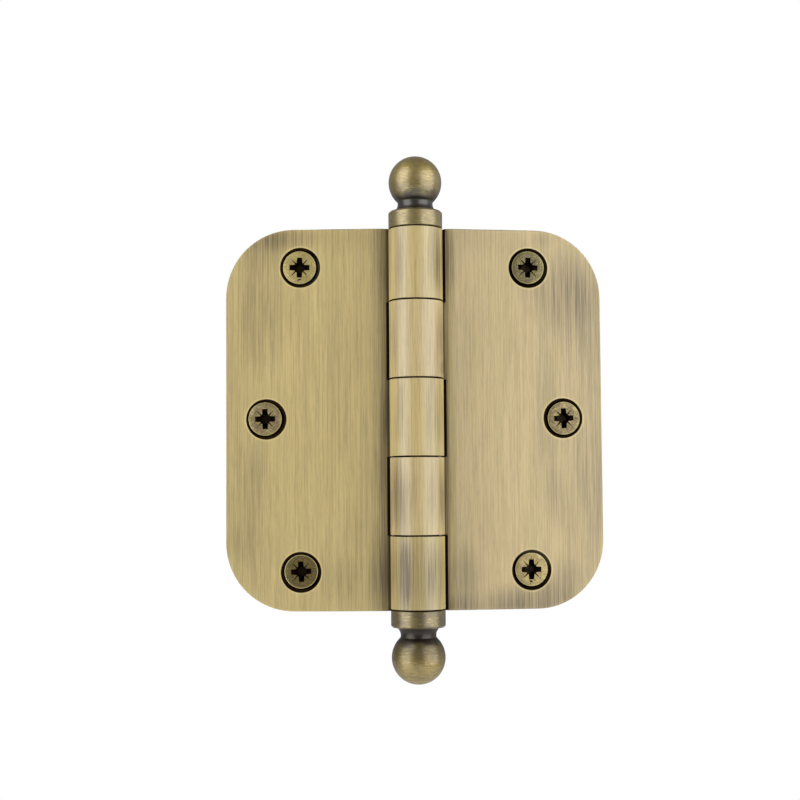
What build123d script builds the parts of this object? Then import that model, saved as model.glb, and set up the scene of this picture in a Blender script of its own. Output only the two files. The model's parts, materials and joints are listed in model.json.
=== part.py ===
from build123d import *

import os
from math import acos, cos, degrees, radians, sin, tan

# Residential door hinge: two swaged leaves, five knuckles, ball tips, six wood screws.
# Millimetres. The origin is on the pin's axis at mid height, and +Z runs up the pin.
# The left leaf lies flat towards -X. Its countersunk face looks towards -Y.
# The right leaf is folded back towards +Y, past flat, as it rests.

# Leaves
leaf_height = 88.9
open_width = 88.9
corner_radius = 15.875
leaf_thickness = 3.0
closed_gap = 1.6  # between the two faces when the hinge is shut
fold_past_flat = 11.2  # degrees
swage_angle = 18.0  # degrees, how far the web leans back to meet the barrel
swage_inner_radius = 4.0
leaf_edge_break = 0.15

# Barrel
barrel_radius = 6.25
joint_heights = (-27.08, -9.03, 9.03, 27.08)  # where one leaf's knuckle meets the other's
joint_gap = 0.2
left_notch_reach = 6.95  # from the pin's axis to the leaf's edge beside the other leaf's knuckles
right_notch_reach = 7.2
notch_lean = 12.0  # degrees, how far that punched edge leans in towards the leaf's back
seam_gap = 0.3  # between the end of the curl and the web
knuckle_edge_break = 0.12
barrel_end_drop = 0.5  # how far inside the leaf's top and bottom edges the barrel ends
end_facing_radius = 6.6  # of the cut that takes the barrel's ends down

# Pin and ball tips
pin_running_fit = 0.05  # radial
tip_end_play = 0.1  # between a collar and the barrel
tip_fit = 0.02  # around the stud and under the collar
stud_radius = 2.0
stud_length = 9.0
tapped_depth = 11.0
collar_radius = 6.27
collar_height = 4.0
collar_edge_break = 0.4
neck_base_radius = 4.9
neck_base_rise = 51.0  # degrees, how steeply the neck leaves the collar
neck_radius = 4.08
neck_height = 1.85  # from the collar to the narrowest place
ball_radius = 6.17
ball_start = -46.5  # degrees, how far below the ball's middle the neck runs into it
tip_height = 61.09  # from mid height to the end of the ball

# Screws and their holes
outer_screw_reach = 27.05  # from the pin's axis
outer_screw_height = 35.45
middle_screw_reach = 35.05
cone_angle = 82.0
countersink_radius = 4.7
clearance_hole_radius = 2.45
head_radius = 3.88
head_rim = 0.25
shank_radius = 2.08
thread_root_radius = 1.45
thread_pitch = 1.7
thread_slope = 0.5  # along the screw, from a crest down to the root
screw_length = 25.4
shank_end = 9.5  # how far below the head's top the plain shank runs
point_length = 4.0
recess_width = 4.8
recess_slot = 1.15
recess_depth = 2.2
recess_floor_radius = 0.9
recess_core_radius = 1.05
tick_reach = 3.0
tick_width = 0.22
tick_depth = 0.15
screw_seat_gap = 0.02

# Where the screws are on each leaf: out from the pin, and up from mid height
screw_places = {
    "top": (outer_screw_reach, outer_screw_height),
    "middle": (middle_screw_reach, 0),
    "bottom": (outer_screw_reach, -outer_screw_height),
}
# How far each screw's cross is turned, in degrees
left_turns = {"top": -1, "middle": 1, "bottom": 3}
right_turns = {"top": -2, "middle": 2, "bottom": 0}

# Sizes that follow from the ones above
half_height = leaf_height / 2
half_width = open_width / 2
face_y = closed_gap / 2
back_y = face_y + leaf_thickness
bore_radius = barrel_radius - leaf_thickness
pin_radius = bore_radius - pin_running_fit
cone_slope = tan(radians(cone_angle / 2))
head_sink = (countersink_radius - head_radius) / cone_slope - head_rim - screw_seat_gap
barrel_end = half_height - barrel_end_drop
collar_base = barrel_end + tip_end_play
past_barrel = 2 * barrel_radius  # reaches past the barrel on any side
overrun = 1.0  # how far a cutting shape runs on past the metal
all_spans = list(zip((-half_height, *joint_heights), (*joint_heights, half_height)))
left_spans = all_spans[0::2]
right_spans = all_spans[1::2]


def polar(radius, angle):
    return (radius * cos(radians(angle)), radius * sin(radians(angle)))


def leaf_section():
    """The left leaf seen down the pin: plate, swage bend, web, and the curl round the bore."""
    leave = 90 + swage_angle  # where the web meets the barrel's back
    web_front = polar(bore_radius, leave)
    web_back = polar(barrel_radius, leave)
    lean = tan(radians(swage_angle))
    front_bend = (web_front[0] - (web_front[1] - face_y) / lean, face_y)
    back_bend = (web_back[0] - (web_back[1] - back_y) / lean, back_y)
    sheet = make_face(
        Polyline(
            (-half_width, face_y),
            front_bend,
            web_front,
            web_back,
            back_bend,
            (-half_width, back_y),
            close=True,
        )
    )
    front_corner = sheet.vertices().sort_by_distance((*front_bend, 0))[0]
    sheet = fillet(front_corner, swage_inner_radius + leaf_thickness)
    back_corner = sheet.vertices().sort_by_distance((*back_bend, 0))[0]
    sheet = fillet(back_corner, swage_inner_radius)

    meeting = leave + degrees(acos(bore_radius / barrel_radius))
    curl_end = meeting + degrees(seam_gap / barrel_radius)
    opening = Polyline((0, 0), polar(past_barrel, curl_end), polar(past_barrel, leave), close=True)
    curl = Circle(barrel_radius) - Circle(bore_radius) - make_face(opening)
    return sheet + curl


def leaf_outline():
    """The leaf's front view as a solid: square beside the barrel, round at the outer corners."""
    width = half_width + past_barrel
    plate = Pos(width / 2 - half_width, 0, 0) * Box(width, 2 * past_barrel, leaf_height)
    outer_corners = plate.edges().filter_by(Axis.Y).group_by(Axis.X)[0]
    return fillet(outer_corners, corner_radius)


def notch(reach, low, high):
    """Room for one of the other leaf's knuckles, from the height low to the height high."""
    slope = tan(radians(notch_lean))
    outline = Polyline(
        (-reach - slope * (past_barrel + face_y), -past_barrel),
        (-reach + slope * (past_barrel - face_y), past_barrel),
        (past_barrel, past_barrel),
        (past_barrel, -past_barrel),
        close=True,
    )
    return Pos(0, 0, low) * extrude(make_face(outline), high - low)


def knuckle_break():
    """The ring of metal that breaking the edge takes off an upward-facing knuckle end."""
    downward = (Align.CENTER, Align.CENTER, Align.MAX)
    kept = Cone(barrel_radius, barrel_radius - knuckle_edge_break, knuckle_edge_break, align=downward)
    outside = Cylinder(barrel_radius + overrun, knuckle_edge_break, align=downward)
    span = 2 * (barrel_radius + overrun)
    web_side = Pos(-span / 2, span / 2, 0) * Box(span, span, 2 * overrun)
    return outside - kept - web_side


def screw_axis(reach, height):
    """Where a screw goes through the left leaf: +Z runs into the plate from its face."""
    return Location((-reach, face_y, height), (-90, 0, 0))


def countersink():
    """The cone and the clearance hole for a screw, with the leaf's face at the origin."""
    depth = (countersink_radius - clearance_hole_radius) / cone_slope
    cone = Cone(
        countersink_radius + overrun * cone_slope,
        clearance_hole_radius,
        depth + overrun,
        align=(Align.CENTER, Align.CENTER, Align.MIN),
    )
    hole = Cylinder(clearance_hole_radius, 2 * (leaf_thickness + overrun))
    return Pos(0, 0, -overrun) * cone + hole


def build_leaf(own_spans, other_spans, notch_reach):
    """A leaf as it lies to the left of the pin, with its own knuckles and room for the other's."""
    blank = Pos(0, 0, -half_height) * extrude(leaf_section(), leaf_height)
    leaf = blank & leaf_outline()
    for low, high in other_spans:
        low_end = low - joint_gap / 2 if low > -half_height else low - overrun
        high_end = high + joint_gap / 2 if high < half_height else high + overrun
        leaf -= notch(notch_reach, low_end, high_end)
    face = leaf.faces().filter_by(Axis.Y).sort_by(Axis.Y)[0]
    rim_without_swage_line = face.outer_wire().edges().sort_by(Axis.X)[:-1]
    leaf = chamfer(rim_without_swage_line, leaf_edge_break)
    for end in (1, -1):
        leaf -= Pos(0, 0, end * (barrel_end + overrun)) * Cylinder(end_facing_radius, 2 * overrun)
    for low, high in own_spans:
        top = high - joint_gap / 2 if high < half_height else barrel_end
        bottom = low + joint_gap / 2 if low > -half_height else -barrel_end
        leaf -= Pos(0, 0, top) * knuckle_break()
        leaf -= Pos(0, 0, bottom) * mirror(knuckle_break(), Plane.XY)
    for place in screw_places.values():
        leaf -= screw_axis(*place) * countersink()
    return leaf


def build_screw(turn):
    """A flat-head wood screw with its head's top at the origin, pointing along +Z."""
    cone_end = head_rim + (head_radius - shank_radius) / cone_slope
    outline = [
        (0, 0),
        (head_radius, 0),
        (head_radius, head_rim),
        (shank_radius, cone_end),
        (shank_radius, shank_end),
    ]
    thread_end = screw_length - point_length
    turns = int((thread_end - shank_end) / thread_pitch)
    for turn_number in range(turns):
        start = shank_end + turn_number * thread_pitch
        outline.append((thread_root_radius, start + thread_slope))
        outline.append((thread_root_radius, start + thread_pitch - thread_slope))
        outline.append((shank_radius, start + thread_pitch))
    outline.append((thread_root_radius, shank_end + turns * thread_pitch + thread_slope))
    outline.append((0, screw_length))
    profile = make_face(Polyline(*outline, close=True))
    body = revolve(Plane.XZ * profile, Axis.Z)
    recess = Cylinder(recess_core_radius, 2 * recess_depth)
    recess += Box(recess_width, recess_slot, 2 * recess_depth)
    recess += Box(recess_slot, recess_width, 2 * recess_depth)
    recess &= Cone(
        recess_width / 2, recess_floor_radius, recess_depth, align=(Align.CENTER, Align.CENTER, Align.MIN)
    )
    ticks = Box(2 * tick_reach, tick_width, 2 * tick_depth) + Box(tick_width, 2 * tick_reach, 2 * tick_depth)
    return Rot(0, 0, turn) * (body - recess - Rot(0, 0, 45) * ticks)


def build_pin():
    """The pin runs from collar to collar and is tapped at both ends for the tips' studs."""
    pin = Cylinder(pin_radius, 2 * (collar_base - tip_fit))
    for end in (1, -1):
        tapped = Cylinder(stud_radius + tip_fit, 2 * tapped_depth)
        pin -= Pos(0, 0, end * (collar_base - tip_fit)) * tapped
    return pin


def build_tip():
    """The upper ball tip: stud, collar, hollowed neck and ball, turned in one piece."""
    collar_top = collar_base + collar_height
    ball_middle = tip_height - ball_radius
    across, up = polar(ball_radius, ball_start)
    neck_end = (across, ball_middle + up)
    stud_and_collar = Polyline(
        (0, collar_base - stud_length),
        (stud_radius, collar_base - stud_length),
        (stud_radius, collar_base),
        (collar_radius - collar_edge_break / 2, collar_base),
        (collar_radius, collar_base + collar_edge_break / 2),
        (collar_radius, collar_top - collar_edge_break),
        (collar_radius - collar_edge_break, collar_top),
        (neck_base_radius, collar_top),
    )
    neck = Spline(
        (neck_base_radius, collar_top),
        (neck_radius, collar_top + neck_height),
        neck_end,
        tangents=[polar(1, 180 - neck_base_rise), polar(1, 90 + ball_start)],
    )
    ball = ThreePointArc(neck_end, (ball_radius, ball_middle), (0, tip_height))
    centre_line = Line((0, tip_height), (0, collar_base - stud_length))
    profile = make_face([stud_and_collar, neck, ball, centre_line])
    return revolve(Plane.XZ * profile, Axis.Z)


def place_right(shape):
    """Turns a left-hand shape into its right-hand one, folded back past flat."""
    return Rot(0, 0, fold_past_flat) * mirror(shape, Plane.YZ)


parts = {
    "left_leaf": build_leaf(left_spans, right_spans, left_notch_reach),
    "right_leaf": place_right(build_leaf(right_spans, left_spans, right_notch_reach)),
    "hinge_pin": build_pin(),
    "top_ball_tip": build_tip(),
    "bottom_ball_tip": mirror(build_tip(), Plane.XY),
}
for name, place in screw_places.items():
    seat = screw_axis(*place) * Pos(0, 0, head_sink)
    parts["left_screw_" + name] = seat * build_screw(left_turns[name])
    parts["right_screw_" + name] = place_right(seat * build_screw(right_turns[name]))

os.makedirs("parts", exist_ok=True)
for name, part in parts.items():
    export_step(part, f"parts/{name}.step")
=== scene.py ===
import json
import random
from math import cos, pi, radians, sin, sqrt, tan

import bmesh
import bpy
from mathutils import Matrix, Vector

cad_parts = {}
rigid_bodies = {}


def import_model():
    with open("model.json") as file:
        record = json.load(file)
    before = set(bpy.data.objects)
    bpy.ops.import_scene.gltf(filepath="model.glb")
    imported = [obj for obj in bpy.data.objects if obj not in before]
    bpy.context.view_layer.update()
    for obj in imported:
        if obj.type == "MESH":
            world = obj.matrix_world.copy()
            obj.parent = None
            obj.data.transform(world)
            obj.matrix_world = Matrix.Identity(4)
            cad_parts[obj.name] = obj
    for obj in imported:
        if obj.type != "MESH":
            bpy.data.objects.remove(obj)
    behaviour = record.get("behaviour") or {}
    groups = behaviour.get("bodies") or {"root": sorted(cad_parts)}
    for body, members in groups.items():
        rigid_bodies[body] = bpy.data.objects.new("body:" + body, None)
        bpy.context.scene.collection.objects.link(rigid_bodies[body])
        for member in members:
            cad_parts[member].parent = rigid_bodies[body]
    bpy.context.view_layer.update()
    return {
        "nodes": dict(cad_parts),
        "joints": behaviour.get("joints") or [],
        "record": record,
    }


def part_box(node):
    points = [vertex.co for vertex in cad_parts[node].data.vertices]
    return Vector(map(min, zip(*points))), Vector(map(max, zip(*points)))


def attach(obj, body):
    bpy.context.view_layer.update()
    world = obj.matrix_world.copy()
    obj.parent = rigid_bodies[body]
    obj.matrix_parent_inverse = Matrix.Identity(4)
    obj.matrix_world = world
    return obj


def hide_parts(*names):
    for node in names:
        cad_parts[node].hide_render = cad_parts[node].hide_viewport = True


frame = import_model()

# Sizes are in millimetres until a piece is placed. Those that the frame holds are read from it.
MM = 0.001
MOUNTS = {mount["name"]: mount for mount in frame["record"]["mounts"]}
leaf_low, leaf_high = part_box("left_leaf")

# The leaves
LEAF_REACH = -leaf_low.x / MM
LEAF_TOP = leaf_high.z / MM
CORNER_RADIUS = 15.875
THICKNESS = 3.0
BACK = MOUNTS["left_leaf_back"]["pos_m"][1] / MM
FRONT = BACK - THICKNESS
FOLD = radians(-frame["joints"][0]["range_deg"][0] - 180)  # how far past flat the right leaf rests
NOTCH_HEIGHTS = (9.03, 27.08)  # between them the left leaf makes room for the right one's knuckles
COUNTERSINK_RADIUS = 4.7

# The barrel's radius, and the heights where the barrel, the pin and the tips' collars end
BARREL_RADIUS = -leaf_low.y / MM
PIN_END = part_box("hinge_pin")[1].z / MM
BARREL_END = PIN_END - 0.08
COLLAR_BASE = PIN_END + 0.02
COLLAR_TOP = COLLAR_BASE + 4.0

# The screws' heads
HEAD_RADIUS = 3.88
HEAD_DEPTH = 2.4  # just past the end of the cone
CROSS_RADIUS = 2.65  # the cross lies inside it
CARVED_RADIUS = 3.4  # the cross and its four grooves lie inside it


def screw_places():
    """How far out from the pin, and how high, each of the left leaf's screws is."""
    for height in ("top", "middle", "bottom"):
        place = MOUNTS[f"left_screw_{height}_shank"]["pos_m"]
        yield -place[0] / MM, place[2] / MM


# ---------------------------------------------------------------- node building


class Graph:
    """A material's node tree. Most calls add nodes and give back the last one's output socket."""

    def __init__(self, name):
        self.material = bpy.data.materials.new(name)
        self.material.use_nodes = True
        self.tree = self.material.node_tree
        self.tree.nodes.clear()

    def node(self, kind, inputs=None, **settings):
        """A node whose inputs are each linked to a socket or set to a value."""
        made = self.tree.nodes.new(kind)
        for key, value in settings.items():
            setattr(made, key, value)
        for key, value in (inputs or {}).items():
            if isinstance(value, bpy.types.NodeSocket):
                self.tree.links.new(value, made.inputs[key])
            else:
                made.inputs[key].default_value = value
        return made

    def math(self, operation, a, b=0.0, clamp=False):
        made = self.node("ShaderNodeMath", {0: a, 1: b}, operation=operation, use_clamp=clamp)
        return made.outputs[0]

    def total(self, *values):
        """The sum of several numbers, held between 0 and 1."""
        result = values[0]
        for value in values[1:]:
            result = self.math("ADD", result, value, clamp=True)
        return result

    def product(self, *values):
        """Several numbers multiplied with each other."""
        result = values[0]
        for value in values[1:]:
            result = self.math("MULTIPLY", result, value)
        return result

    def one_minus(self, value):
        """1 less the value, and never below 0."""
        return self.math("SUBTRACT", 1.0, value, clamp=True)

    def step(self, value, low, high, at_low=0.0, at_high=1.0):
        """A smooth step from at_low to at_high as value goes from low to high."""
        if low > high:
            low, high, at_low, at_high = high, low, at_high, at_low
        made = self.node(
            "ShaderNodeMapRange",
            {"Value": value, "From Min": low, "From Max": high, "To Min": at_low, "To Max": at_high},
            interpolation_type="SMOOTHSTEP",
        )
        return made.outputs["Result"]

    def noise(self, point, stretch, detail, roughness):
        """Noise with the given number of features per millimetre along each axis."""
        made = self.node(
            "ShaderNodeTexNoise",
            {"Vector": self.scaled(point, stretch), "Scale": 1.0, "Detail": detail, "Roughness": roughness},
        )
        return made.outputs["Fac"]

    def scaled(self, vector, factors):
        made = self.node("ShaderNodeVectorMath", {0: vector, 1: factors}, operation="MULTIPLY")
        return made.outputs["Vector"]

    def distance(self, vector, target):
        made = self.node("ShaderNodeVectorMath", {0: vector, 1: target}, operation="DISTANCE")
        return made.outputs["Value"]

    def vector(self, x, y, z):
        return self.node("ShaderNodeCombineXYZ", {"X": x, "Y": y, "Z": z}).outputs["Vector"]

    def mix(self, factor, a, b):
        """Colour a where the factor is 0 and colour b where it is 1."""
        return self.node("ShaderNodeMix", {0: factor, 6: a, 7: b}, data_type="RGBA").outputs[2]

    def point(self):
        """The point in millimetres, in the piece's own frame. For a CAD node that is the shared one."""
        where = self.node("ShaderNodeTexCoord").outputs["Object"]
        return self.scaled(where, (1 / MM, 1 / MM, 1 / MM))

    def moved(self, vector, offset):
        made = self.node("ShaderNodeVectorMath", {0: vector, 1: offset}, operation="ADD")
        return made.outputs["Vector"]

    def turned(self, vector, angle):
        inputs = {"Vector": vector, "Angle": angle}
        return self.node("ShaderNodeVectorRotate", inputs, rotation_type="Z_AXIS").outputs["Vector"]

    def parts(self, vector):
        return self.node("ShaderNodeSeparateXYZ", {"Vector": vector}).outputs

    def metal(self, colour, roughness, height, height_mm, coat=0.0, **fixed):
        """Metal under a coat of lacquer, with a bump of height_mm and its tangent round the Z axis."""
        bump = self.node("ShaderNodeBump", {"Height": height, "Distance": height_mm * MM, "Strength": 1.0})
        tangent = self.node("ShaderNodeTangent", direction_type="RADIAL", axis="Z")
        shader = self.node(
            "ShaderNodeBsdfPrincipled",
            {
                "Base Color": colour,
                "Roughness": roughness,
                "Normal": bump.outputs["Normal"],
                "Tangent": tangent.outputs["Tangent"],
                "Metallic": 1.0,
                "Coat Weight": coat,
            },
        )
        for key, value in fixed.items():
            shader.inputs[key.replace("_", " ")].default_value = value
        self.node("ShaderNodeOutputMaterial", {"Surface": shader.outputs["BSDF"]})
        return self.material


def assign(piece, material):
    """Give a piece this material only."""
    piece.data.materials.clear()
    piece.data.materials.append(material)


# ---------------------------------------------------------------- materials

# Brass that the brushing has laid bare: two shades that it varies between, on each leaf
LEFT_SHADES = ((0.54, 0.43, 0.177, 1), (0.56, 0.445, 0.186, 1))
RIGHT_SHADES = ((0.552, 0.438, 0.2, 1), (0.58, 0.452, 0.218, 1))
PALE_AND_HIGHLIGHT = (0.67, 0.55, 0.24, 1)  # where it is rubbed most; also for painted highlights
TIP_SHADES = ((0.34, 0.25, 0.05, 1), (0.37, 0.265, 0.06, 1))
TONING_AND_SHADE = (0.16, 0.113, 0.042, 1)  # the brown left in low places, and painted shade
OXIDE_AND_SHADOW = (0.016, 0.009, 0.0035, 1)  # the untouched dark finish, and painted shadow in notches, joints and gaps
# brown toning on the tips, also painted as shade on the balls
TIP_TONING_AND_SHADE = (0.11, 0.08, 0.02, 1)
LIGHT_STEEL = (0.56, 0.55, 0.53, 1)
DARK_STEEL = (0.42, 0.41, 0.39, 1)
LACQUER = {"Coat_Roughness": 0.38, "Coat_IOR": 1.8}
TIP_LACQUER = {"Coat_Roughness": 0.31, "Coat_IOR": 1.8}

# Noise: features per millimetre along each axis, detail and roughness
# The leaves' brushing runs along the pin, from hair lines to broad bands
HAIR = ((4.2, 4.2, 0.05), 3.0, 0.7)
FLECK = ((4.2, 4.2, 0.3), 2.0, 0.6)
STREAK = ((1.5, 1.5, 0.03), 2.0, 0.55)
BAND = ((0.33, 0.33, 0.02), 2.0, 0.5)
PATCH = ((0.14, 0.14, 0.03), 2.0, 0.5)
# The tips are brushed round
TIP_RING = ((0.25, 0.25, 4.0), 3.0, 0.6)
TIP_SCRATCH = ((0.8, 0.8, 6.5), 3.0, 0.7)
TIP_GRAIN = ((1.8, 1.8, 2.6), 3.0, 0.65)
TIP_CLOUD = ((0.3, 0.3, 0.5), 2.0, 0.5)
# The screws' heads have no direction, and the pin is drawn lengthwise
SCREW_CLOUD = ((0.55, 0.55, 0.55), 3.0, 0.6)
SCREW_GRAIN = ((3.0, 3.0, 3.0), 3.0, 0.65)
SCREW_PITS = ((5.5, 5.5, 5.5), 1.0, 0.5)
DRAWN = ((4.0, 4.0, 0.1), 2.0, 0.5)

# Heights between which a tip's finish changes: at the collar's edge, up the neck, and up the ball, where
# patina and painted shade fade out
COLLAR_EDGE = (COLLAR_TOP - 0.05, COLLAR_TOP + 0.07)
NECK_FADE = (COLLAR_TOP + 2.95, COLLAR_TOP + 4.55)
BALL_FADE = (COLLAR_TOP + 4.45, COLLAR_TOP + 9.45)

# How far out from the pin the right leaf has a painted highlight beside the gaps
GAP_EDGE = 8.3

# Where toning is left on each leaf, or shade painted on it, as the leaf lies flat: how far out from the pin,
# how high, its reach out and up, and its strength. On the barrel, out is across its front, and below zero is
# past the axis.
LEFT_TONING_AND_SHADE = (
    # plate
    (32.0, 42.5, 13.0, 4.5, 0.6),
    (17.0, 43.0, 17.0, 7.0, 0.18),
    (36.0, 41.0, 9.0, 9.0, 0.45),
    (35.5, 26.0, 7.5, 19.0, 0.38),
    (38.0, -16.0, 5.0, 14.0, 0.3),
    (37.0, -37.0, 4.0, 7.0, 0.2),
    (39.0, -29.0, 8.0, 9.0, 0.35),
    (17.0, -37.0, 12.0, 8.0, 0.28),
    (13.0, -27.0, 6.0, 9.0, 0.18),
    (9.0, -12.0, 3.0, 10.0, 0.3),
    # darker towards the outer edge
    (42.0, 5.0, 8.0, 60.0, 0.25),
    # where the plate meets its knuckles: patina and painted shade
    (7.4, 0.0, 2.2, 11.0, 0.4),
    (8.8, -36.0, 3.6, 12.0, 0.6),
    (7.5, 36.0, 2.0, 11.0, 0.35),
    # top knuckle: toning, and painted shade where it turns away to the sides
    (6.1, 36.0, 0.9, 14.0, 0.4),
    (3.8, 36.0, 1.4, 13.0, 0.5),
    (-4.2, 36.0, 1.8, 12.0, 0.55),
    (-6.0, 36.0, 2.2, 14.0, 0.75),
    # middle knuckle: toning, and painted shade where it turns away to the sides
    (3.6, 0.0, 1.8, 12.0, 0.35),
    (-3.6, 0.0, 2.2, 12.0, 0.35),
    (-5.9, 0.0, 2.0, 14.0, 0.5),
    # bottom knuckle: toning, and painted shade where it turns away to the sides
    (0.0, -36.0, 8.0, 15.0, 0.6),
    (2.9, -36.0, 1.9, 13.0, 1.1),
    (5.7, -36.0, 2.2, 14.0, 0.4),
    (-3.4, -35.0, 1.5, 11.0, 0.5),
    (-5.7, -36.0, 2.2, 14.0, 0.5),
)
RIGHT_TONING_AND_SHADE = (
    # beside the left leaf's top knuckle: patina and painted shade
    (8.4, 37.0, 2.0, 11.0, 0.55),
    # plate
    (31.0, 42.5, 4.0, 3.0, 0.3),
    (15.0, 43.0, 15.0, 7.0, 0.16),
    (26.5, 37.0, 8.0, 9.0, 0.25),
    (34.0, 31.0, 14.0, 13.0, 0.42),
    (41.5, 22.0, 10.0, 16.0, 0.3),
    (37.0, 28.0, 7.0, 16.0, 0.35),
    (43.0, -15.0, 4.5, 18.0, 0.15),
    (33.5, -19.0, 4.5, 10.0, 0.3),
    (31.0, 5.0, 4.0, 45.0, 0.25),
    (26.0, -44.0, 17.0, 7.0, 0.95),
    (29.0, -38.0, 6.0, 5.0, 0.3),
    (35.0, -38.5, 7.0, 7.5, 0.45),
    (10.0, -44.0, 6.5, 4.5, 0.6),
    (11.0, -37.0, 4.5, 11.0, 0.6),
    # darker towards the outer edge
    (46.0, 0.0, 18.0, 80.0, 0.35),
    # upper knuckle: toning, and painted shade where it turns away to the sides
    (5.6, 11.0, 1.5, 3.0, 0.5),
    (-5.8, 18.0, 1.6, 12.0, 0.4),
    (5.3, 18.0, 1.9, 13.0, 0.8),
    # lower knuckle: toning, and painted shade where it turns away to the sides
    (-5.2, -18.0, 3.2, 13.0, 0.8),
    (-2.0, -18.0, 1.3, 9.0, 0.3),
    (2.4, -18.0, 1.4, 9.0, 0.3),
    (5.3, -18.0, 1.9, 13.0, 0.95),
)


def near_joints(g, height, start, low, high):
    """The larger of start and of a band at each joint line: gone at low mm from it, full at high mm."""
    for joint in NOTCH_HEIGHTS:
        from_joint = g.math("ABSOLUTE", g.math("SUBTRACT", height, joint))
        start = g.math("MAXIMUM", start, g.step(from_joint, low, high))
    return start


def from_screws(g, front):
    """How far a point of a leaf is from the middle of its nearest screw."""
    nearest = None
    for reach, level in screw_places():
        away = g.distance(front, (reach, 0, level))
        nearest = away if nearest is None else g.math("MINIMUM", nearest, away)
    return nearest


def leaf_rim(g, out, height):
    """1 along a leaf's outer edge and round its corners."""
    past_out = g.math("MAXIMUM", g.math("SUBTRACT", out, LEAF_REACH - CORNER_RADIUS), 0.0)
    past_up = g.math("MAXIMUM", g.math("SUBTRACT", height, LEAF_TOP - CORNER_RADIUS), 0.0)
    from_corner = g.distance(g.vector(past_out, past_up, 0.0), (0, 0, 0))
    return g.step(from_corner, CORNER_RADIUS - 0.9, CORNER_RADIUS - 0.15)


def leaf_notches(g, height, side):
    """1 at the heights where a leaf is notched for the other one's knuckles."""
    low, high = NOTCH_HEIGHTS
    between = g.product(g.step(height, low - 0.1, low), g.step(height, high + 0.1, high))
    return g.one_minus(between) if side > 0 else between


def add_toning_and_shade(g, front, toning_and_shade, places):
    """The toning and painted shade so far with that of each place on top of it."""
    for reach, level, reach_out, reach_up, strength in places:
        scale = (1 / reach_out, 0, 1 / reach_up)
        away = g.distance(g.scaled(front, scale), (reach / reach_out, 0, level / reach_up))
        toning_and_shade = g.math("ADD", toning_and_shade, g.step(away, 1.0, 0.1, 0.0, strength))
    return toning_and_shade


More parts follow.
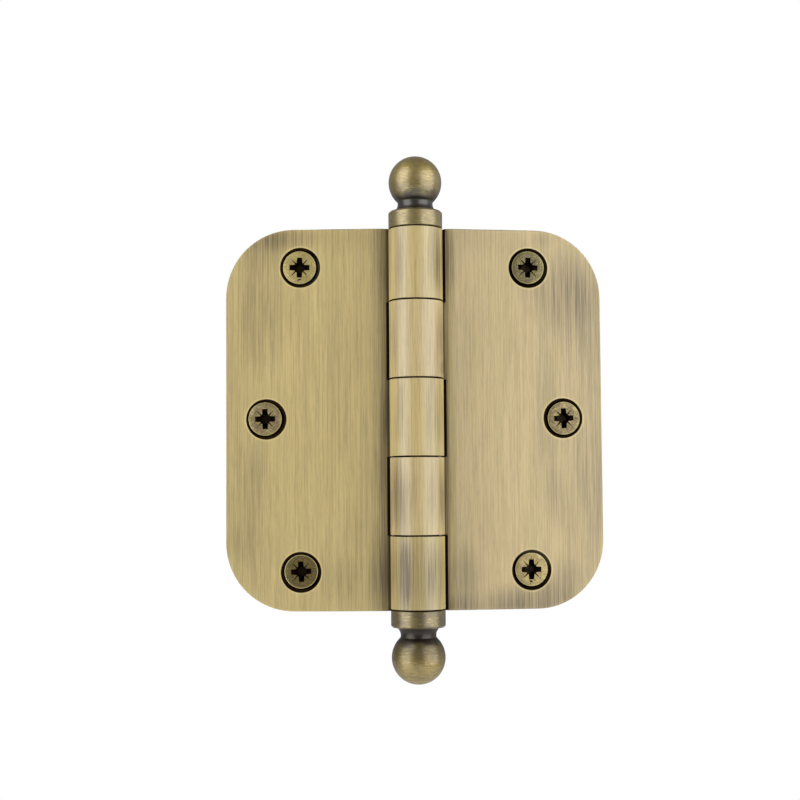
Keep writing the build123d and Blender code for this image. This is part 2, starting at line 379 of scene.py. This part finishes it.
def leaf_brass(
    name,
    side,
    shades,
    toned_and_shaded_places,
    notch_reach,
    valley_reach,
    valley_toning_and_shade,
    crease_dark,
    gap_highlight,
    gloss_at,
):
    """
    Brushed antique brass. side is -1 for the left leaf and 1 for the right one. notch_reach is where the
    notches' walls are, out from the pin; they are painted dark, as oxide and as painted shadow. The valley
    is the plate beside the barrel, out to valley_reach, and the crease is where it meets the barrel; both
    are darkened with patina and painted shade. A painted highlight lies beside the gaps on the right leaf.
    gloss_at is a place out and up where a hole keeps its gloss.
    """
    g = Graph(name)
    point = g.point()
    if side > 0:
        point = g.turned(point, -FOLD)
    x, y, z = g.parts(point)
    out = g.math("MULTIPLY", x, side)
    height = g.math("ABSOLUTE", z)
    front = g.vector(out, 0.0, z)
    from_axis = g.distance(g.vector(x, y, 0.0), (0, 0, 0))
    from_screw = from_screws(g, front)
    hair = g.noise(point, *HAIR)
    streak = g.noise(point, *STREAK)

    # Places on the leaf: each is 1 there and 0 elsewhere
    on_plate = g.step(from_axis, BARREL_RADIUS + 0.05, BARREL_RADIUS + 0.4)
    on_barrel = g.one_minus(on_plate)
    on_front = g.step(y, FRONT + 0.5, FRONT + 0.2)
    before_back = g.step(y, BACK - 0.05, BACK - 0.15)
    # The valley and the crease beside the barrel: patina, and painted shade where the barrel shades the
    # plate
    valley = g.product(on_plate, g.step(out, valley_reach, BARREL_RADIUS + 0.8))
    crease = g.product(on_plate, g.step(out, BARREL_RADIUS + 1.0, BARREL_RADIUS + 0.4))
    # The notches' walls: oxide, and painted shadow standing for the dark gaps beside the knuckles
    notch_wall = g.step(out, notch_reach + 0.12, notch_reach - 0.02)
    notch_oxide_and_shadow = g.product(on_plate, before_back, leaf_notches(g, height, side), notch_wall)
    countersunk = g.step(from_screw, COUNTERSINK_RADIUS + 0.08, COUNTERSINK_RADIUS - 0.05)
    in_hole = g.product(before_back, countersunk)
    halo = g.product(on_front, g.step(from_screw, COUNTERSINK_RADIUS + 0.6, COUNTERSINK_RADIUS + 0.1))
    rim = g.product(on_plate, leaf_rim(g, out, height))
    # Painted shade: dark bands at the joint lines between the knuckles and at the barrel's ends
    barrel_edge = g.step(height, BARREL_END - 0.18, BARREL_END - 0.12)
    joint_shade = g.product(near_joints(g, height, barrel_edge, 0.2, 0.15), on_barrel)

    # Toning and painted shade, broken up by the brushing and worn off round the screws
    patch = g.noise(point, *PATCH)
    all_barrel = g.step(from_axis, BARREL_RADIUS + 0.15, BARREL_RADIUS + 0.05, 0.0, 0.1)
    toning_and_shade = g.total(g.product(g.step(patch, 0.5, 0.75), 0.1), all_barrel)
    toning_and_shade = add_toning_and_shade(g, front, toning_and_shade, toned_and_shaded_places)
    toning_and_shade = g.math("ADD", toning_and_shade, g.product(valley, valley_toning_and_shade))
    breakup = g.step(g.math("ADD", g.product(streak, 0.3), g.product(hair, 0.7)), 0.4, 0.6, 0.45, 1.0)
    toning_and_shade = g.math("SUBTRACT", g.product(toning_and_shade, breakup), g.product(halo, 0.2), clamp=True)

    # Colour
    colour = g.mix(g.step(g.noise(point, *BAND), 0.38, 0.62), *shades)
    bared = g.product(g.step(streak, 0.42, 0.7), g.step(on_plate, 0.0, 1.0, 0.15, 0.12))
    # A painted highlight: a pale band on the plate beside the gaps
    inner_side = g.step(out, GAP_EDGE - 0.6, GAP_EDGE - 0.1)
    outer_side = g.step(out, GAP_EDGE + 2.2, GAP_EDGE + 0.1)
    gap_highlight_band = g.product(on_plate, inner_side, outer_side, gap_highlight)
    colour = g.mix(g.total(bared, gap_highlight_band), colour, PALE_AND_HIGHLIGHT)
    colour = g.mix(g.step(hair, 0.42, 0.68, 0.0, 0.2), colour, TONING_AND_SHADE)
    colour = g.mix(g.step(g.noise(point, *FLECK), 0.42, 0.7, 0.0, 0.165), colour, TONING_AND_SHADE)
    colour = g.mix(toning_and_shade, colour, TONING_AND_SHADE)
    colour = g.mix(g.product(halo, 0.55), colour, PALE_AND_HIGHLIGHT)
    colour = g.mix(g.product(rim, 0.1), colour, PALE_AND_HIGHLIGHT)
    # Patina and painted shade in the crease
    colour = g.mix(g.product(crease, crease_dark), colour, OXIDE_AND_SHADOW)
    # Oxide in the holes, and painted shadow in the notches and at the joints
    dark_oxide_and_shade = g.total(in_hole, notch_oxide_and_shadow, joint_shade)
    colour = g.mix(dark_oxide_and_shade, colour, OXIDE_AND_SHADOW)

    # Lacquer, lost from the oxide and the painted shadow, from half the crease and partly from the toned and
    # shaded barrel, but left on one side of one screw hole
    from_gloss = g.distance(front, (gloss_at[0], 0, gloss_at[1]))
    gloss = g.product(in_hole, g.step(from_gloss, 5.0, 2.5, 0.0, 0.5))
    barrel_toning_and_shade = g.product(toning_and_shade, on_barrel, 0.4)
    dull = g.math("SUBTRACT", g.total(dark_oxide_and_shade, g.product(crease, 0.5), barrel_toning_and_shade), gloss, clamp=True)
    coat = g.one_minus(dull)
    roughness = g.step(hair, 0.3, 0.7, 0.58, 0.68)
    return g.metal(colour, roughness, hair, height_mm=0.006, coat=coat, Anisotropic=0.9, **LACQUER)


def tip_brass(name, bare, shading, mottle, coat_weight, coat_loss):
    """A turned tip: brushed round, with the dark finish left in the neck and lightly on the end, and patina
    with painted shade on the ball beside the neck.
    """
    g = Graph(name)
    point = g.point()
    height = g.math("ABSOLUTE", g.parts(point)["Z"])
    ring = g.noise(point, *TIP_RING)
    scratch = g.noise(point, *TIP_SCRATCH)
    grain = g.noise(point, *TIP_GRAIN)
    cloud = g.noise(point, *TIP_CLOUD)
    ragged = g.math("ADD", height, g.step(cloud, 0.3, 0.7, -0.5, 0.5))

    # Places on the tip, and how strongly each is toned; shade is patina and painted shade on the ball beside
    # the neck
    above_collar = g.step(height, *COLLAR_EDGE)
    neck = g.product(above_collar, g.step(ragged, NECK_FADE[1], NECK_FADE[0]))
    shade = g.product(above_collar, g.step(ragged, BALL_FADE[1], BALL_FADE[0], 0.0, shading))
    # Painted shade at the joint where the collar meets the barrel
    joint_shade = g.step(height, COLLAR_BASE + 0.1, COLLAR_BASE + 0.04)
    collar = g.step(height, COLLAR_EDGE[1], COLLAR_EDGE[0], 0.0, 0.8 * shading)

    toning_and_shade = g.total(g.step(cloud, 0.4, 0.7, 0.0, mottle), shade, collar, g.step(ring, 0.5, 0.75, 0.0, 0.3))
    colour = g.mix(g.step(cloud, 0.35, 0.65), *TIP_SHADES)
    colour = g.mix(toning_and_shade, colour, TIP_TONING_AND_SHADE)
    colour = g.mix(g.step(scratch, 0.42, 0.66, 0.0, 0.5), colour, TIP_TONING_AND_SHADE)
    colour = g.mix(g.step(scratch, 0.46, 0.3, 0.0, 0.35), colour, PALE_AND_HIGHLIGHT)
    colour = g.mix(g.step(grain, 0.5, 0.72, 0.0, mottle), colour, TIP_TONING_AND_SHADE)
    colour = g.mix(g.product(ring, 1 - bare), colour, OXIDE_AND_SHADOW)
    colour = g.mix(g.total(neck, joint_shade), colour, OXIDE_AND_SHADOW)

    surface = g.math("ADD", g.product(scratch, 0.6), g.product(grain, 0.4))
    roughness = g.step(surface, 0.35, 0.65, 0.46, 0.6)
    # Lacquer dulled at the painted joint shade, in the neck and where the ball is shaded
    dulled = g.total(joint_shade, g.product(neck, 0.15), g.product(shade, coat_loss))
    coat = g.product(g.one_minus(dulled), coat_weight)
    brushed_round = {"Anisotropic": 0.3, "Anisotropic_Rotation": 0.25}
    return g.metal(colour, roughness, surface, height_mm=0.006, coat=coat, **brushed_round, **TIP_LACQUER)


def screw_brass(name, tone, blotch, grime, rim_highlight, seed):
    """A screw, in its own frame: the head's top is at the origin and +Z runs into the wood."""
    g = Graph(name)
    point = g.point()
    x, y, depth = g.parts(point)
    from_axis = g.distance(g.vector(x, y, 0.0), (0, 0, 0))
    elsewhere = g.moved(point, (13.7 * seed, 5.1 * seed, 2.9 * seed))
    cloud = g.noise(elsewhere, *SCREW_CLOUD)
    grain = g.noise(elsewhere, *SCREW_GRAIN)
    pits = g.noise(elsewhere, *SCREW_PITS)

    # Places on the screw: each is 1 there and 0 elsewhere
    on_head = g.step(depth, HEAD_DEPTH, HEAD_DEPTH - 0.1)
    on_top = g.step(depth, 0.2, 0.1)
    carved_in = g.step(from_axis, CARVED_RADIUS + 0.05, CARVED_RADIUS - 0.05)
    recess = g.product(g.step(depth, 0.03, 0.08), carved_in, on_head)
    rim = g.product(on_top, g.step(from_axis, HEAD_RADIUS - 0.2, HEAD_RADIUS - 0.08))
    past_cross = g.step(from_axis, CROSS_RADIUS - 0.05, CROSS_RADIUS + 0.05)
    under = g.product(on_head, g.step(depth, 0.16, 0.4), past_cross)

    colour = g.mix(g.step(cloud, 0.35, 0.62), tone, blotch)
    colour = g.mix(g.step(grain, 0.42, 0.7, 0.0, grime), colour, OXIDE_AND_SHADOW)
    colour = g.mix(g.step(pits, 0.6, 0.68, 0.0, 2.0 * grime), colour, OXIDE_AND_SHADOW)
    colour = g.mix(g.step(grain, 0.45, 0.3, 0.0, 0.3), colour, PALE_AND_HIGHLIGHT)
    # A painted highlight along the head's edge
    colour = g.mix(g.product(rim, rim_highlight), colour, PALE_AND_HIGHLIGHT)
    colour = g.mix(under, colour, TONING_AND_SHADE)
    colour = g.mix(recess, colour, OXIDE_AND_SHADOW)

    coat = g.product(g.one_minus(g.product(recess, 0.8)), 0.3)
    roughness = g.step(grain, 0.3, 0.7, 0.48, 0.62)
    return g.metal(colour, roughness, grain, height_mm=0.012, coat=coat, **LACQUER)


def pin_steel(name):
    """Drawn steel, with painted shade where it shows between the knuckles and at its ends."""
    g = Graph(name)
    point = g.point()
    drawn = g.noise(point, *DRAWN)
    height = g.math("ABSOLUTE", g.parts(point)["Z"])
    ends = g.step(height, BARREL_END - 1.2, BARREL_END - 0.6)
    gap_shade = near_joints(g, height, ends, 1.4, 0.7)
    colour = g.mix(gap_shade, g.mix(drawn, DARK_STEEL, LIGHT_STEEL), OXIDE_AND_SHADOW)
    roughness = g.step(gap_shade, 0.0, 1.0, 0.32, 0.6)
    return g.metal(colour, roughness, drawn, height_mm=0.003)


def finish_cad_pieces():
    """A material for every CAD piece that stays. The screws are replaced further down."""
    nodes = frame["nodes"]
    left_brass = leaf_brass(
        "left_leaf_brass",
        side=-1,
        shades=LEFT_SHADES,
        toned_and_shaded_places=LEFT_TONING_AND_SHADE,
        notch_reach=6.95,
        valley_reach=11.3,
        valley_toning_and_shade=0.6,
        crease_dark=0.8,
        gap_highlight=0.0,
        gloss_at=(23.5, 33.5),
    )
    right_brass = leaf_brass(
        "right_leaf_brass",
        side=1,
        shades=RIGHT_SHADES,
        toned_and_shaded_places=RIGHT_TONING_AND_SHADE,
        notch_reach=7.2,
        valley_reach=8.3,
        valley_toning_and_shade=0.85,
        crease_dark=0.25,
        gap_highlight=0.6,
        gloss_at=(28.0, -31.5),
    )
    top_brass = tip_brass(
        "top_tip_brass", bare=1.0, shading=0.6, mottle=0.2, coat_weight=1.0, coat_loss=0.12
    )
    # The bottom tip is darker and duller all over: toning, and painted shade for the weaker light below
    bottom_brass = tip_brass(
        "bottom_tip_brass", bare=0.8, shading=0.9, mottle=0.35, coat_weight=0.85, coat_loss=0.4
    )
    assign(nodes["left_leaf"], left_brass)
    assign(nodes["right_leaf"], right_brass)
    assign(nodes["top_ball_tip"], top_brass)
    assign(nodes["bottom_ball_tip"], bottom_brass)
    assign(nodes["hinge_pin"], pin_steel("pin_steel"))


# ---------------------------------------------------------------- screws

SEGMENTS = 96  # round a screw
STEPS_PER_TURN = 36  # along a thread
SHARP_ANGLE = 28  # degrees, and steeper edges are not smoothed
CONE_SLOPE = tan(radians(41))  # how much the head's radius shrinks for each millimetre of depth
SHANK_RADIUS = 2.08
CONE_START = 0.25
CONE_END = CONE_START + (HEAD_RADIUS - SHANK_RADIUS) / CONE_SLOPE
SHANK_END = 9.3
ROOT_RADIUS = 1.45
POINT_START = 21.4
LENGTH = 25.4
PITCH = 1.7
# Half the thread's thickness along the screw, at its base and at its crest
THREAD_BASE = 0.42
THREAD_CREST = 0.04

# Radius and depth, from the head's rounded edge down to the point
SCREW_PROFILE = (
    (HEAD_RADIUS - 0.12, 0.0),
    (HEAD_RADIUS - 0.035, 0.035),
    (HEAD_RADIUS, 0.12),
    (HEAD_RADIUS, CONE_START),
    (SHANK_RADIUS + 0.12, CONE_END - 0.14),
    (SHANK_RADIUS + 0.03, CONE_END + 0.05),
    (SHANK_RADIUS, CONE_END + 0.3),
    (SHANK_RADIUS, SHANK_END),
    (ROOT_RADIUS, SHANK_END + 0.7),
    (ROOT_RADIUS, POINT_START),
    (0.9, 23.6),
    (0.25, LENGTH - 0.15),
)
# A quarter of the cross-shaped recess, at the head's top and at the recess's floor
RECESS_TOP = ((2.36, -0.6), (2.36, 0.6), (1.2, 0.68), (0.9, 0.9), (0.68, 1.2))
RECESS_FLOOR = ((1.05, -0.44), (1.05, 0.44), (0.85, 0.48), (0.66, 0.66), (0.48, 0.85))
RECESS_DEPTH = 2.2
# The four grooves between its arms: reach from the axis, half the width and depth at three places
TICK_RINGS = ((0.95, 0.4, 0.24), (2.3, 0.24, 0.15), (3.05, 0.03, 0.03))
TICK_ANGLES = (45, 135, 225, 315)
# How far above the head the tools that cut it begin
RECESS_CLEARANCE = 0.5
TICK_CLEARANCE = 0.2


def new_mesh(name, shape):
    """A mesh from a bmesh given in millimetres."""
    bmesh.ops.scale(shape, vec=(MM, MM, MM), verts=shape.verts)
    bmesh.ops.recalc_face_normals(shape, faces=shape.faces)
    mesh = bpy.data.meshes.new(name)
    shape.to_mesh(mesh)
    shape.free()
    return mesh


def loft(rings):
    """A closed solid through rings of points that all have the same count."""
    shape = bmesh.new()
    layers = [[shape.verts.new(point) for point in ring] for ring in rings]
    count = len(layers[0])
    for upper, lower in zip(layers, layers[1:]):
        for i in range(count):
            j = (i + 1) % count
            shape.faces.new((upper[i], upper[j], lower[j], lower[i]))
    shape.faces.new(layers[0])
    shape.faces.new(layers[-1])
    return shape


def around(radius, depth):
    """A circle about the screw's axis."""
    turns = [2 * pi * i / SEGMENTS for i in range(SEGMENTS)]
    return [(radius * cos(a), radius * sin(a), depth) for a in turns]


def turned(x, y, angle):
    """A point turned about the screw's axis."""
    return x * cos(angle) - y * sin(angle), x * sin(angle) + y * cos(angle)


def cross(quarter, depth):
    """The recess's outline at a depth, from a quarter of it."""
    return [(*turned(x, y, turn * pi / 2), depth) for turn in range(4) for x, y in quarter]


def tick(angle):
    """One of the four grooves between the arms of the cross, deepest at its inner end."""
    rings = []
    for reach, half_width, depth in TICK_RINGS:
        corners = (
            (reach, -half_width, -TICK_CLEARANCE),
            (reach, half_width, -TICK_CLEARANCE),
            (reach, 0.0, depth),
        )
        rings.append([(*turned(x, y, radians(angle)), z) for x, y, z in corners])
    return loft(rings)


def dent(x, y, size, depth, rng):
    """A ragged chip in the head's top, wider than it is high."""
    shape = bmesh.new()
    bmesh.ops.create_icosphere(shape, subdivisions=2, radius=1.0)
    for vert in shape.verts:
        jitter = rng.uniform(0.75, 1.2)
        across = vert.co.x * size * jitter
        upwards = vert.co.y * size * 0.7 * jitter
        vert.co = Vector((x + across, y + upwards, vert.co.z * depth))
    return shape


def thread():
    """The helical ridge. Its base is buried in the root, and it fades in and out at its ends."""
    start = SHANK_END - 0.1
    end = LENGTH - 0.5
    steps = int((end - start) / PITCH * STEPS_PER_TURN)
    layers = []
    for step in range(steps + 1):
        depth = start + (end - start) * step / steps
        a = 2 * pi * step / STEPS_PER_TURN
        root = ROOT_RADIUS * min(1.0, (LENGTH - depth) / (LENGTH - POINT_START))
        grown = min(1.0, step / STEPS_PER_TURN, 0.35 + (steps - step) / (2.5 * STEPS_PER_TURN))
        crest = root + (SHANK_RADIUS - ROOT_RADIUS) * max(grown, 0.02)
        buried = root * 0.85
        section = (
            (buried, -THREAD_BASE),
            (crest, -THREAD_CREST),
            (crest, THREAD_CREST),
            (buried, THREAD_BASE),
        )
        layers.append([(r * cos(a), r * sin(a), depth + along) for r, along in section])
    return loft(layers)


def carved(body, tools):
    """The body's mesh with each tool taken out of it."""
    in_scene = bpy.context.scene.collection.objects
    holder = bpy.data.objects.new("carving", body)
    in_scene.link(holder)
    cutters = []
    for tool in tools:
        cutter = bpy.data.objects.new("cutter", tool)
        in_scene.link(cutter)
        cutters.append(cutter)
        cut = holder.modifiers.new("cut", "BOOLEAN")
        cut.operation = "DIFFERENCE"
        cut.solver = "EXACT"
        cut.object = cutter
    ready = holder.evaluated_get(bpy.context.evaluated_depsgraph_get())
    mesh = bpy.data.meshes.new_from_object(ready)
    for made in (holder, *cutters):
        bpy.data.objects.remove(made)
    return mesh


def screw_mesh(name, dents, seed):
    """A whole screw: the turned body with its recess, grooves and dents cut out, and the thread."""
    rng = random.Random(seed)
    body = new_mesh("body", loft([around(radius, depth) for radius, depth in SCREW_PROFILE]))
    recess = loft(
        [cross(RECESS_TOP, -RECESS_CLEARANCE), cross(RECESS_TOP, 0.0), cross(RECESS_FLOOR, RECESS_DEPTH)]
    )
    tools = [new_mesh("recess", recess)]
    tools += [new_mesh("tick", tick(angle)) for angle in TICK_ANGLES]
    tools += [new_mesh("dent", dent(*place, rng)) for place in dents]
    shape = bmesh.new()
    shape.from_mesh(carved(body, tools))
    shape.from_mesh(new_mesh("thread", thread()))
    mesh = bpy.data.meshes.new(name)
    shape.to_mesh(mesh)
    shape.free()
    mesh.polygons.foreach_set("use_smooth", [True] * len(mesh.polygons))
    mesh.set_sharp_from_angle(angle=radians(SHARP_ANGLE))
    return mesh


# From the top of a screw's head to the mount in the middle of its shank, in metres
TOP_TO_MOUNT = MOUNTS["left_screw_top_shank"]["pos_m"][1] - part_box("left_screw_top")[0].y


def place_screw(name, body, turn, offset, finish, dents, seed):
    """A detailed screw in place of the CAD's, resting a little off centre in its countersink."""
    mount = MOUNTS[f"{name}_shank"]
    into = Vector(mount["axis"])
    up = Vector((0, 0, 1))
    left = up.cross(into)
    right_by, up_by = offset
    lift = sqrt(right_by**2 + up_by**2) / CONE_SLOPE
    top = Vector(mount["pos_m"]) - into * TOP_TO_MOUNT
    top += MM * (up * up_by - left * right_by - into * lift)
    screw = bpy.data.objects.new(f"{name}_detailed", screw_mesh(name, dents, seed))
    axes = Matrix((left, up, into)).transposed().to_4x4()
    screw.matrix_world = Matrix.Translation(top) @ axes @ Matrix.Rotation(radians(turn), 4, "Z")
    bpy.context.scene.collection.objects.link(screw)
    assign(screw, screw_brass(f"{name}_brass", *finish, seed))
    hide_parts(name)
    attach(screw, body)


# Each screw's name, body, turn in degrees, offset to the right and up in its hole, finish and dents.
# A finish is tone, blotches, grime and the strength of the painted highlight on the rim. A dent is its place
# to the left and up, size and depth.
SCREWS = (
    (
        "left_screw_top", "fixed_leaf", 1, (-0.2, 0.1),
        ((0.5, 0.41, 0.155, 1), (0.4, 0.32, 0.125, 1), 0.35, 0.65),
        ((0.05, -2.85, 0.32, 0.16), (0.4, -2.95, 0.2, 0.1), (-0.35, -2.75, 0.2, 0.1)),
    ),
    (
        "left_screw_middle", "fixed_leaf", -1, (-0.33, 0.1),
        ((0.37, 0.3, 0.135, 1), (0.24, 0.185, 0.09, 1), 0.4, 0.6),
        (),
    ),
    (
        "left_screw_bottom", "fixed_leaf", -3, (-0.03, 0.13),
        ((0.1, 0.085, 0.022, 1), (0.14, 0.1, 0.025, 1), 0.35, 0.9),
        ((-0.9, -1.9, 0.12, 0.08),),
    ),
    (
        "right_screw_top", "swinging_leaf", 2, (0.07, 0.2),
        ((0.155, 0.125, 0.055, 1), (0.19, 0.165, 0.058, 1), 0.5, 0.55),
        ((3.1, -0.3, 0.13, 0.12), (3.2, 0.2, 0.1, 0.1), (2.9, -0.75, 0.1, 0.1), (-0.6, 2.9, 0.15, 0.1)),
    ),
    (
        "right_screw_middle", "swinging_leaf", -2, (0.29, 0.0),
        ((0.35, 0.275, 0.122, 1), (0.215, 0.165, 0.08, 1), 0.4, 0.65),
        ((-3.0, -0.1, 0.16, 0.12), (-2.85, 0.45, 0.12, 0.1), (-0.9, 2.1, 0.2, 0.12)),
    ),
    (
        "right_screw_bottom", "swinging_leaf", 0, (0.08, 0.11),
        ((0.46, 0.375, 0.165, 1), (0.35, 0.265, 0.115, 1), 0.3, 0.9),
        ((0.1, -2.75, 0.4, 0.18), (-0.75, -2.5, 0.2, 0.12), (0.35, -3.2, 0.2, 0.1), (0.0, 2.6, 0.2, 0.08)),
    ),
)


# ---------------------------------------------------------------- studio

# Each softbox's azimuth and elevation in degrees, distance, width and height in metres, and brightness
LIGHTS = {
    "box_left": (-55, 10, 0.9, 0.8, 1.8, 2.7),
    "box_right": (60, 10, 0.9, 1.1, 1.3, 2.4),
    "box_back_left": (-125, 5, 1.2, 0.8, 1.0, 0.1),
    "box_back_right": (120, 5, 1.2, 0.8, 1.0, 0.35),
}
WHITE = (1, 1, 1, 1)
ROOM_GREY = (0.3, 0.3, 0.3, 1)
FLOOR_GREY = (0.9, 0.9, 0.9, 1)
FLOOR_GLOW = 0.1
# In metres
FLOOR_RADIUS = 2.5
FLOOR_HEIGHT = -0.6
# The photograph's camera, worked out from the outlines of the leaves and the tips: its place in metres, its
# turns in degrees, and its lens and sensor in millimetres
CAMERA_PLACE = (0.009146, -0.35149, -0.017948)
CAMERA_YAW = 2.119
CAMERA_TILT = 93.599
CAMERA_ROLL = -0.422
FOCAL_LENGTH = 68.48
SENSOR_WIDTH = 36


def softbox(name, azimuth, elevation, distance, width, height, brightness):
    """An area light that faces the hinge. Azimuth 0 is the camera's side, and it grows to the right."""
    a = radians(azimuth)
    e = radians(elevation)
    away = Vector((sin(a) * cos(e), -cos(a) * cos(e), sin(e)))
    light = bpy.data.lights.new(name, "AREA")
    light.shape = "RECTANGLE"
    light.size = width
    light.size_y = height
    light.energy = brightness * pi * width * height
    lamp = bpy.data.objects.new(name, light)
    lamp.location = away * distance
    lamp.rotation_mode = "QUATERNION"
    lamp.rotation_quaternion = away.to_track_quat("Z", "Y")
    lamp.visible_camera = False
    bpy.context.scene.collection.objects.link(lamp)


def make_world():
    """White where the camera looks past the hinge, and a dim room everywhere else."""
    world = bpy.data.worlds.new("studio")
    world.use_nodes = True
    tree = world.node_tree
    tree.nodes.clear()
    white = tree.nodes.new("ShaderNodeBackground")
    white.inputs["Color"].default_value = WHITE
    room = tree.nodes.new("ShaderNodeBackground")
    room.inputs["Color"].default_value = ROOM_GREY
    path = tree.nodes.new("ShaderNodeLightPath")
    mix = tree.nodes.new("ShaderNodeMixShader")
    out = tree.nodes.new("ShaderNodeOutputWorld")
    tree.links.new(path.outputs["Is Camera Ray"], mix.inputs["Fac"])
    tree.links.new(room.outputs[0], mix.inputs[1])
    tree.links.new(white.outputs[0], mix.inputs[2])
    tree.links.new(mix.outputs[0], out.inputs["Surface"])
    bpy.context.scene.world = world


def make_floor():
    """A pale disc that glows a little, as a floor in a white room would."""
    shape = bmesh.new()
    bmesh.ops.create_circle(shape, cap_ends=True, radius=FLOOR_RADIUS, segments=128)
    mesh = bpy.data.meshes.new("floor")
    shape.to_mesh(mesh)
    shape.free()
    floor = bpy.data.objects.new("floor", mesh)
    floor.location = (0, 0, FLOOR_HEIGHT)
    bpy.context.scene.collection.objects.link(floor)
    material = bpy.data.materials.new("pale_floor")
    material.use_nodes = True
    shader = material.node_tree.nodes["Principled BSDF"]
    shader.inputs["Base Color"].default_value = FLOOR_GREY
    shader.inputs["Roughness"].default_value = 0.9
    shader.inputs["Emission Color"].default_value = WHITE
    shader.inputs["Emission Strength"].default_value = FLOOR_GLOW
    assign(floor, material)


def make_camera():
    """The camera at the photograph's viewing angle."""
    lens = bpy.data.cameras.new("camera")
    lens.lens = FOCAL_LENGTH
    lens.sensor_width = SENSOR_WIDTH
    lens.clip_start = 0.01
    lens.clip_end = 20
    camera = bpy.data.objects.new("camera", lens)
    yaw = Matrix.Rotation(radians(CAMERA_YAW), 4, "Z")
    tilt = Matrix.Rotation(radians(CAMERA_TILT), 4, "X")
    roll = Matrix.Rotation(radians(CAMERA_ROLL), 4, "Z")
    camera.matrix_world = Matrix.Translation(CAMERA_PLACE) @ yaw @ tilt @ roll
    bpy.context.scene.collection.objects.link(camera)
    bpy.context.scene.camera = camera


finish_cad_pieces()
for seed, screw_row in enumerate(SCREWS, 1):
    place_screw(*screw_row, seed)
for light_name, place in LIGHTS.items():
    softbox(light_name, *place)
make_world()
make_floor()
make_camera()
bpy.context.scene.view_settings.view_transform = "Standard"
